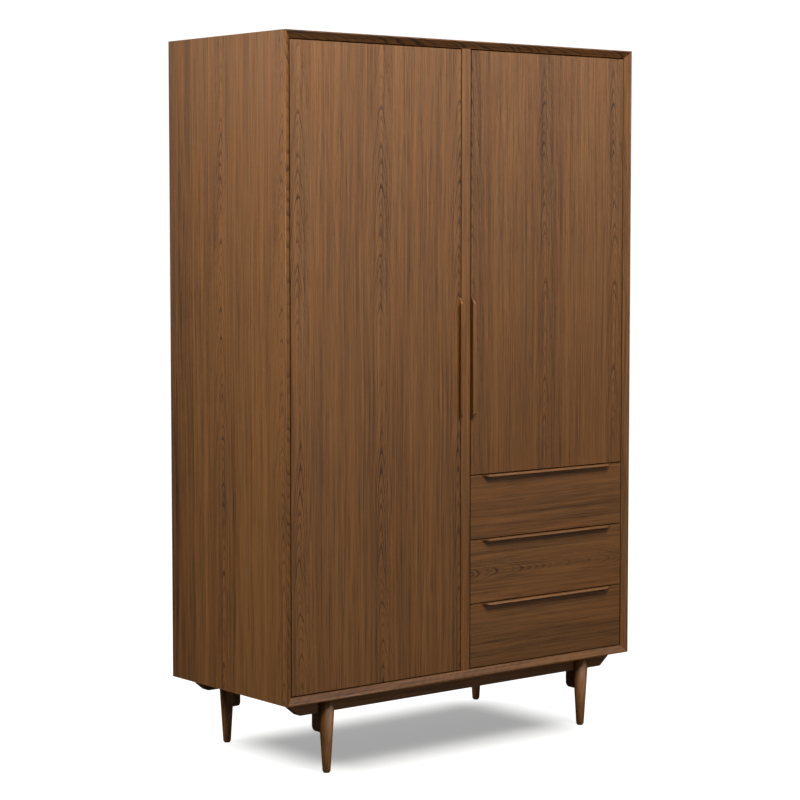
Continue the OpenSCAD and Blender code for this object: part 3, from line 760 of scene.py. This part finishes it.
def turned_leg(node):
    """Spins half the outline of a leg about its axis."""
    low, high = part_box(node)
    axis = leg_axis(node)
    top_radius = (high.x - low.x) / 2.0
    bm = bmesh.new()
    outline = [bm.verts.new(axis + Vector(place)) for place in (
        (0.0, 0.0, 0.0), (FOOT_RADIUS, 0.0, 0.0),
        (top_radius, 0.0, high.z - low.z), (0.0, 0.0, high.z - low.z))]
    for a, b in zip(outline, outline[1:]):
        bm.edges.new((a, b))
    bmesh.ops.spin(
        bm, geom=bm.edges[:], cent=axis, axis=(0.0, 0.0, 1.0), angle=2.0 * math.pi,
        steps=LEG_STEPS, use_merge=True)
    bmesh.ops.remove_doubles(bm, verts=bm.verts, dist=WELD)
    bmesh.ops.recalc_face_normals(bm, faces=bm.faces)
    for face in bm.faces:
        face.smooth = abs(face.normal.z) < 0.5
    foot_rim = [e for e in faces_meeting_sharply(bm, ROUND_RIM)
                if all(v.co.z < axis.z + HAIR for v in e.verts)]
    soften(bm, foot_rim, FOOT_ROUND, FOOT_STEPS)
    return bm


for i, node in enumerate(LEG_NAMES):
    leg_oak = oak(node + "_oak", "XYZ", middle=leg_axis(node).x, leaf=0.5, heart=0.075, climb=0.03,
                  seed=20.0 + i, tone=-0.10)
    piece("turned_" + node, turned_leg(node), "carcass", node, leg_oak)

# %% [markdown]
# ## Beams and rails
#
# Between the legs run two beams with sloped ends and two rails with a rounded knee beside
# every leg. Each is an outline pulled out to its thickness. The legs stand half into them,
# so each one is notched with the shape of its leg, and the rails get deep wells for the
# screws that hold them to the bottom board.

# %% Beams and rails
BEAM_SLOPE = 46 * MM
BEAM_ROUND = 4 * MM
KNEE_LENGTH = 47 * MM
KNEE_ROUND = 14 * MM
KNEE_STEPS = 6
KNEE_CORNER = math.radians(40.0)
RAIL_EASE = 1.2 * MM


def drawn_bar(outline, thickness, rounded, plane):
    """Extrudes an outline given in a plane. `rounded` maps corner numbers to their radius."""
    bm = bmesh.new()
    flat = [bm.verts.new(Vector((a, 0.0, b)) if plane == "XZ" else Vector((0.0, a, b)))
            for a, b in outline]
    bm.faces.new(flat)
    for number, radius in rounded.items():
        bmesh.ops.bevel(
            bm, geom=[flat[number]], offset=radius, offset_type="OFFSET", segments=KNEE_STEPS,
            profile=0.5, affect="VERTICES", material=-1)
        bm.verts.ensure_lookup_table()
    pulled_out(bm, bm.faces[:], (0.0, thickness, 0.0) if plane == "XZ" else (thickness, 0.0, 0.0))
    bmesh.ops.recalc_face_normals(bm, faces=bm.faces)
    return bm


def leg_cutters(nodes):
    return [turned_leg(node) for node in nodes]


for side, legs in (("front", LEG_NAMES[:2]), ("rear", LEG_NAMES[2:])):
    node = side + "_beam"
    low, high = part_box(node)
    lower = high.x - BEAM_SLOPE
    outline = ((-lower, low.z), (lower, low.z), (high.x, high.z), (-high.x, high.z))
    bm = drawn_bar(outline, high.y - low.y, {}, "XZ")
    bmesh.ops.translate(bm, vec=(0.0, low.y, 0.0), verts=bm.verts)
    corners = [e for e in bm.edges if all(v.co.z < low.z + HAIR for v in e.verts)
               and abs(e.verts[0].co.x - e.verts[1].co.x) < HAIR]
    soften(bm, corners, BEAM_ROUND)
    soften(bm, faces_meeting_sharply(bm), RAIL_EASE)
    beam_oak = oak(node + "_oak", "ZYX", middle=0.2, leaf=0.9, heart=0.14, climb=0.03,
                   seed=26.0 + low.y, tone=0.02)
    made = piece(side + "_beam_bar", bm, "carcass", node, beam_oak)
    carve(made, leg_cutters(legs))

beam_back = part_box("front_beam")[1].y
rear_beam_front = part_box("rear_beam")[0].y
beam_low_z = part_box("front_beam")[0].z
screw_low, screw_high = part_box("base_screws")
SCREW_HEAD = 4.5 * MM
WELL_RADIUS = 5 * MM
WELL_DEPTH = 14 * MM
WELL_SPARE = 2 * MM
WELL_STEPS = 32
for side in ("left", "right"):
    node = side + "_base_rail"
    low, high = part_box(node)
    front = leg_axis("front_left_leg").y
    rear = leg_axis("rear_left_leg").y
    outline = (
        (front, low.z), (front + KNEE_LENGTH, low.z), (front + KNEE_LENGTH, beam_low_z),
        (rear - KNEE_LENGTH, beam_low_z), (rear - KNEE_LENGTH, low.z), (rear, low.z),
        (rear, beam_low_z), (rear_beam_front, beam_low_z), (rear_beam_front, high.z),
        (beam_back, high.z), (beam_back, beam_low_z), (front, beam_low_z))
    bm = drawn_bar(outline, high.x - low.x, {1: KNEE_ROUND, 4: KNEE_ROUND}, "YZ")
    bmesh.ops.translate(bm, vec=(low.x, 0.0, 0.0), verts=bm.verts)
    soften(bm, faces_meeting_sharply(bm, KNEE_CORNER), RAIL_EASE)
    rail_oak = oak(node + "_oak", "ZXY", middle=0.2, leaf=0.9, heart=0.14, climb=0.03,
                   seed=28.0 + low.x, tone=0.02)
    made = piece(side + "_rail_bar", bm, "carcass", node, rail_oak)
    first = screw_low.y + SCREW_HEAD
    last = screw_high.y - SCREW_HEAD
    wells = [
        cylinder(((low.x + high.x) / 2.0, y, beam_low_z - WELL_SPARE), "Z",
                 WELL_DEPTH + WELL_SPARE, WELL_RADIUS, WELL_STEPS)
        for y in (first, (first + last) / 2.0, last)]
    carve(made, leg_cutters([n for n in LEG_NAMES if side in n]) + wells)

# %% [markdown]
# ## Drawer boxes
#
# Each drawer is a box of birch plywood: two long sides, a front and a back between them, and a
# thin bottom held in grooves.

# %% Drawer boxes
PLY_EASE = 0.8 * MM
WALL_PLIES = 9
BASE_PLIES = 5
for i, drawer in enumerate(DRAWERS):
    sides_low, sides_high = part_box(drawer + "_drawer_sides")
    ends_low, ends_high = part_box(drawer + "_drawer_ends")
    ply = ends_low.x - sides_low.x
    base_low, base_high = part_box(drawer + "_drawer_bottom")
    body = drawer + "_drawer"

    bm = bmesh.new()
    for x in (sides_low.x, sides_high.x - ply):
        add_slab(bm, Vector((x, sides_low.y, sides_low.z)), Vector((x + ply, sides_high.y, sides_high.z)),
                 PLY_EASE)
    side_ply = birch_ply(drawer + "_side_ply", "ZXY", sides_low.x, ply, WALL_PLIES, 1.0 + i)
    piece(drawer + "_drawer_walls", bm, body, drawer + "_drawer_sides", side_ply)

    bm = bmesh.new()
    for y in (ends_low.y, ends_high.y - ply):
        add_slab(bm, Vector((ends_low.x, y, ends_low.z)), Vector((ends_high.x, y + ply, ends_high.z)),
                 PLY_EASE)
    end_ply = birch_ply(drawer + "_end_ply", "ZYX", ends_low.y, ply, WALL_PLIES, 5.0 + i)
    piece(drawer + "_drawer_cross_pieces", bm, body, drawer + "_drawer_ends", end_ply)

    base_thickness = base_high.z - base_low.z
    base_ply = birch_ply(drawer + "_base_ply", "YZX", base_low.z, base_thickness, BASE_PLIES, 9.0 + i)
    slab_piece(drawer + "_drawer_base", drawer + "_drawer_bottom", body, base_ply, SHEET_EASE)

# %% [markdown]
# ## Hanging rod and glides
#
# These are round parts, so each begins as a cone with equal ends and gets its rims softened.

# %% Round fittings
ROD_STEPS = 64
ROD_WALL = 1.5 * MM
ROD_EASE = 0.5 * MM
GLIDE_RADIUS = 8.5 * MM
GLIDE_EASE = 0.8 * MM
rod_finish = lacquered_rod("rod_lacquer")
nylon = black_nylon("black_nylon_finish")
steel_finish = zinc_steel("fitting_zinc", "Z")
level_steel = zinc_steel("slide_zinc", "Y")


def smooth_round(bm, axis_letter):
    """Shades the round side of a bar smooth and leaves its flat ends flat."""
    index = "XYZ".index(axis_letter)
    bm.normal_update()
    for face in bm.faces:
        face.smooth = face.smooth or abs(face.normal[index]) < 0.5


rod_low, rod_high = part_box("hanging_rod")
rod_radius = (rod_high.z - rod_low.z) / 2.0
rod_middle = (rod_low + rod_high) / 2.0
bm = cylinder((rod_low.x, rod_middle.y, rod_middle.z), "X", rod_high.x - rod_low.x, rod_radius, ROD_STEPS)
smooth_round(bm, "X")
soften(bm, faces_meeting_sharply(bm, ROUND_RIM), ROD_EASE)
rod = piece("hanging_rod_tube", bm, "carcass", "hanging_rod", rod_finish)
carve(rod, [cylinder((rod_low.x - MM, rod_middle.y, rod_middle.z), "X",
                     rod_high.x - rod_low.x + 2 * MM, rod_radius - ROD_WALL, ROD_STEPS)])

glide_low, glide_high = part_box("foot_glides")
bm = bmesh.new()
for node in LEG_NAMES:
    axis = leg_axis(node)
    disc = cylinder((axis.x, axis.y, glide_low.z), "Z", glide_high.z - glide_low.z, GLIDE_RADIUS)
    smooth_round(disc, "Z")
    soften(disc, [e for e in faces_meeting_sharply(disc, ROUND_RIM)
                  if all(v.co.z < HAIR for v in e.verts)], GLIDE_EASE)
    mesh = bpy.data.meshes.new("glide")
    disc.to_mesh(mesh)
    disc.free()
    bm.from_mesh(mesh)
    bpy.data.meshes.remove(mesh)
piece("nylon_glides", bm, "carcass", "foot_glides", nylon)

# %% [markdown]
# ## Hinges, slides and screws
#
# The engineering model already has the true shape of the hinges and slides, so a cleaned copy
# is enough: loose triangles are merged, flat ones are joined, and round walls are shaded
# smooth while real corners stay crisp.

# %% Metal copies
SMOOTH_BELOW = math.radians(32.0)
FLAT_BELOW = math.radians(0.5)
COPY_WELD = 0.005 * MM


def cleaned_copy(name, node, body, material):
    """A merged copy of a CAD node with smooth round walls."""
    bm = bmesh.new()
    bm.from_mesh(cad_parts[node].data)
    bmesh.ops.remove_doubles(bm, verts=bm.verts, dist=COPY_WELD)
    bmesh.ops.dissolve_limit(
        bm, angle_limit=FLAT_BELOW, use_dissolve_boundaries=False,
        verts=bm.verts, edges=bm.edges)
    for face in bm.faces:
        face.smooth = True
    for edge in bm.edges:
        edge.smooth = len(edge.link_faces) == 2 and edge.calc_face_angle() < SMOOTH_BELOW
    return piece(name, bm, body, node, material)


for side in ("left", "right"):
    hinge_bodies = {"cups": side + "_door", "links": side + "_links", "arms": "carcass", "plates": "carcass"}
    for part, body in hinge_bodies.items():
        cleaned_copy(f"{side}_steel_{part}", f"{side}_hinge_{part}", body, steel_finish)
for name, node in (("steel_shelf_pins", "shelf_pins"), ("steel_base_screws", "base_screws")):
    cleaned_copy(name, node, "carcass", steel_finish)
cleaned_copy("nylon_rod_sockets", "rod_sockets", "carcass", nylon)
cleaned_copy("steel_cabinet_runners", "cabinet_slides", "carcass", level_steel)
for drawer in DRAWERS:
    cleaned_copy(drawer + "_steel_runners", drawer + "_drawer_slides", drawer + "_drawer",
                 level_steel)
    cleaned_copy(drawer + "_steel_middles", drawer + "_middle_slides", drawer + "_slide_middles",
                 level_steel)

# %% [markdown]
# ## Studio floor
#
# The floor is white paper. A camera sees it overexposed and glowing. The soft shadow under the
# armoire is mostly painted shadow: the glow fades towards the middle of the footprint, and a dim
# lit diffuse part adds a little real shadow to it.
# For all other light it is a darker surface, which keeps it from throwing light up under the
# carcass, as black flags do in a studio.

# %% Floor
FLOOR_HALF = 60.0
SHADE_X = 0.32
SHADE_Y = 0.12
SHADE_REACH = 0.22
SHADE_DEPTH = 0.36
bm = bmesh.new()
bmesh.ops.create_grid(bm, x_segments=1, y_segments=1, size=FLOOR_HALF)
floor_mesh = bpy.data.meshes.new("paper_floor")
bm.to_mesh(floor_mesh)
bm.free()
floor = bpy.data.objects.new("paper_floor", floor_mesh)
bpy.context.scene.collection.objects.link(floor)

paper = Finish("white_paper")
tree = paper.tree
seen = paper.node("LightPath").outputs["Is Camera Ray"]
where = paper.place()
beside = paper.calc("MAXIMUM", paper.calc("SUBTRACT", paper.calc("ABSOLUTE", where[0]), SHADE_X), 0.0)
beyond = paper.calc("MAXIMUM", paper.calc("SUBTRACT", paper.calc("ABSOLUTE", where[1]), SHADE_Y), 0.0)
squares = paper.calc("MULTIPLY_ADD", beside, beside, paper.calc("MULTIPLY", beyond, beyond))
# Painted shadow: the paper's glow is weakest in the middle of the footprint and full outside it.
painted_shadow_glow = paper.fade(paper.calc("SQRT", squares), 0.0, SHADE_REACH, SHADE_DEPTH, 1.0)
bright = paper.node("BsdfDiffuse", {"Color": (0.22, 0.22, 0.22, 1.0)}).outputs[0]
dull = paper.node("BsdfDiffuse", {"Color": (0.07, 0.068, 0.066, 1.0)}).outputs[0]
light = paper.node("Emission", {"Color": (1.0, 1.0, 1.0, 1.0), "Strength": painted_shadow_glow}).outputs[0]
shown = paper.node("AddShader", {0: bright, 1: light}).outputs[0]
mixed = paper.node("MixShader", {0: seen, 1: dull, 2: shown}).outputs[0]
tree.nodes.remove(paper.shader)
tree.links.new(mixed, tree.nodes["Material Output"].inputs["Surface"])
floor_mesh.materials.append(paper.material)
print("floor", 2.0 * FLOOR_HALF, "m wide")

# %% [markdown]
# ## Studio light
#
# The key is a soft box high in front of the armoire. It gives the slow fall of light from the top
# to the feet. Two more stand beside the cabinet, level with it or behind, so that they light
# its sides and leave the gaps and the edges of the pulls dark. A low one in front softens the
# shadows under the pulls, and one that only mirrors lays a faint sheen on the doors.

# %% Lights
def soft_box(name, place, target, size, power, color=(1.0, 1.0, 1.0), sheen_only=False):
    """A square lamp at a place, turned to face its target."""
    data = bpy.data.lights.new(name, "AREA")
    data.shape = "SQUARE"
    data.size = size
    data.energy = power
    data.color = color
    made = bpy.data.objects.new(name, data)
    made.location = place
    made.rotation_euler = (Vector(target) - Vector(place)).to_track_quat("-Z", "Y").to_euler()
    made.visible_diffuse = not sheen_only
    bpy.context.scene.collection.objects.link(made)
    return made


WARM = (1.0, 0.97, 0.90)
ROOM_LIGHT = 0.06
BACKDROP_WHITE = 1.05
soft_box("key_box", (-0.3, -2.5, 4.1), (0.0, 0.0, 1.4), 1.6, 130.0, WARM)
soft_box("low_box", (0.4, -3.6, 0.7), (0.0, 0.0, 0.5), 1.6, 10.0, WARM)
soft_box("side_box", (-3.0, 1.0, 3.1), (-0.6, 0.0, 1.3), 1.6, 100.0, WARM)
soft_box("sheen_box", (3.2, -4.2, 3.2), (0.0, 0.0, 1.6), 2.4, 70.0, sheen_only=True)
soft_box("right_box", (3.4, 1.2, 2.8), (0.6, 0.0, 1.1), 1.8, 55.0, WARM)
soft_box("back_box", (1.2, 3.4, 4.0), (0.0, 0.0, 1.0), 3.0, 60.0)

world = bpy.data.worlds.new("studio_room")
bpy.context.scene.world = world
world.use_nodes = True
room = world.node_tree
background = room.nodes["Background"]
background.inputs["Color"].default_value = (1.0, 0.98, 0.95, 1.0)
background.inputs["Strength"].default_value = ROOM_LIGHT
white = room.nodes.new("ShaderNodeBackground")
white.inputs["Color"].default_value = (1.0, 1.0, 1.0, 1.0)
white.inputs["Strength"].default_value = BACKDROP_WHITE
ray = room.nodes.new("ShaderNodeLightPath")
pick = room.nodes.new("ShaderNodeMixShader")
room.links.new(ray.outputs["Is Camera Ray"], pick.inputs[0])
room.links.new(background.outputs[0], pick.inputs[1])
room.links.new(white.outputs[0], pick.inputs[2])
room.links.new(pick.outputs[0], room.nodes["World Output"].inputs["Surface"])

bpy.context.scene.view_settings.view_transform = "Standard"
bpy.context.scene.view_settings.look = "None"
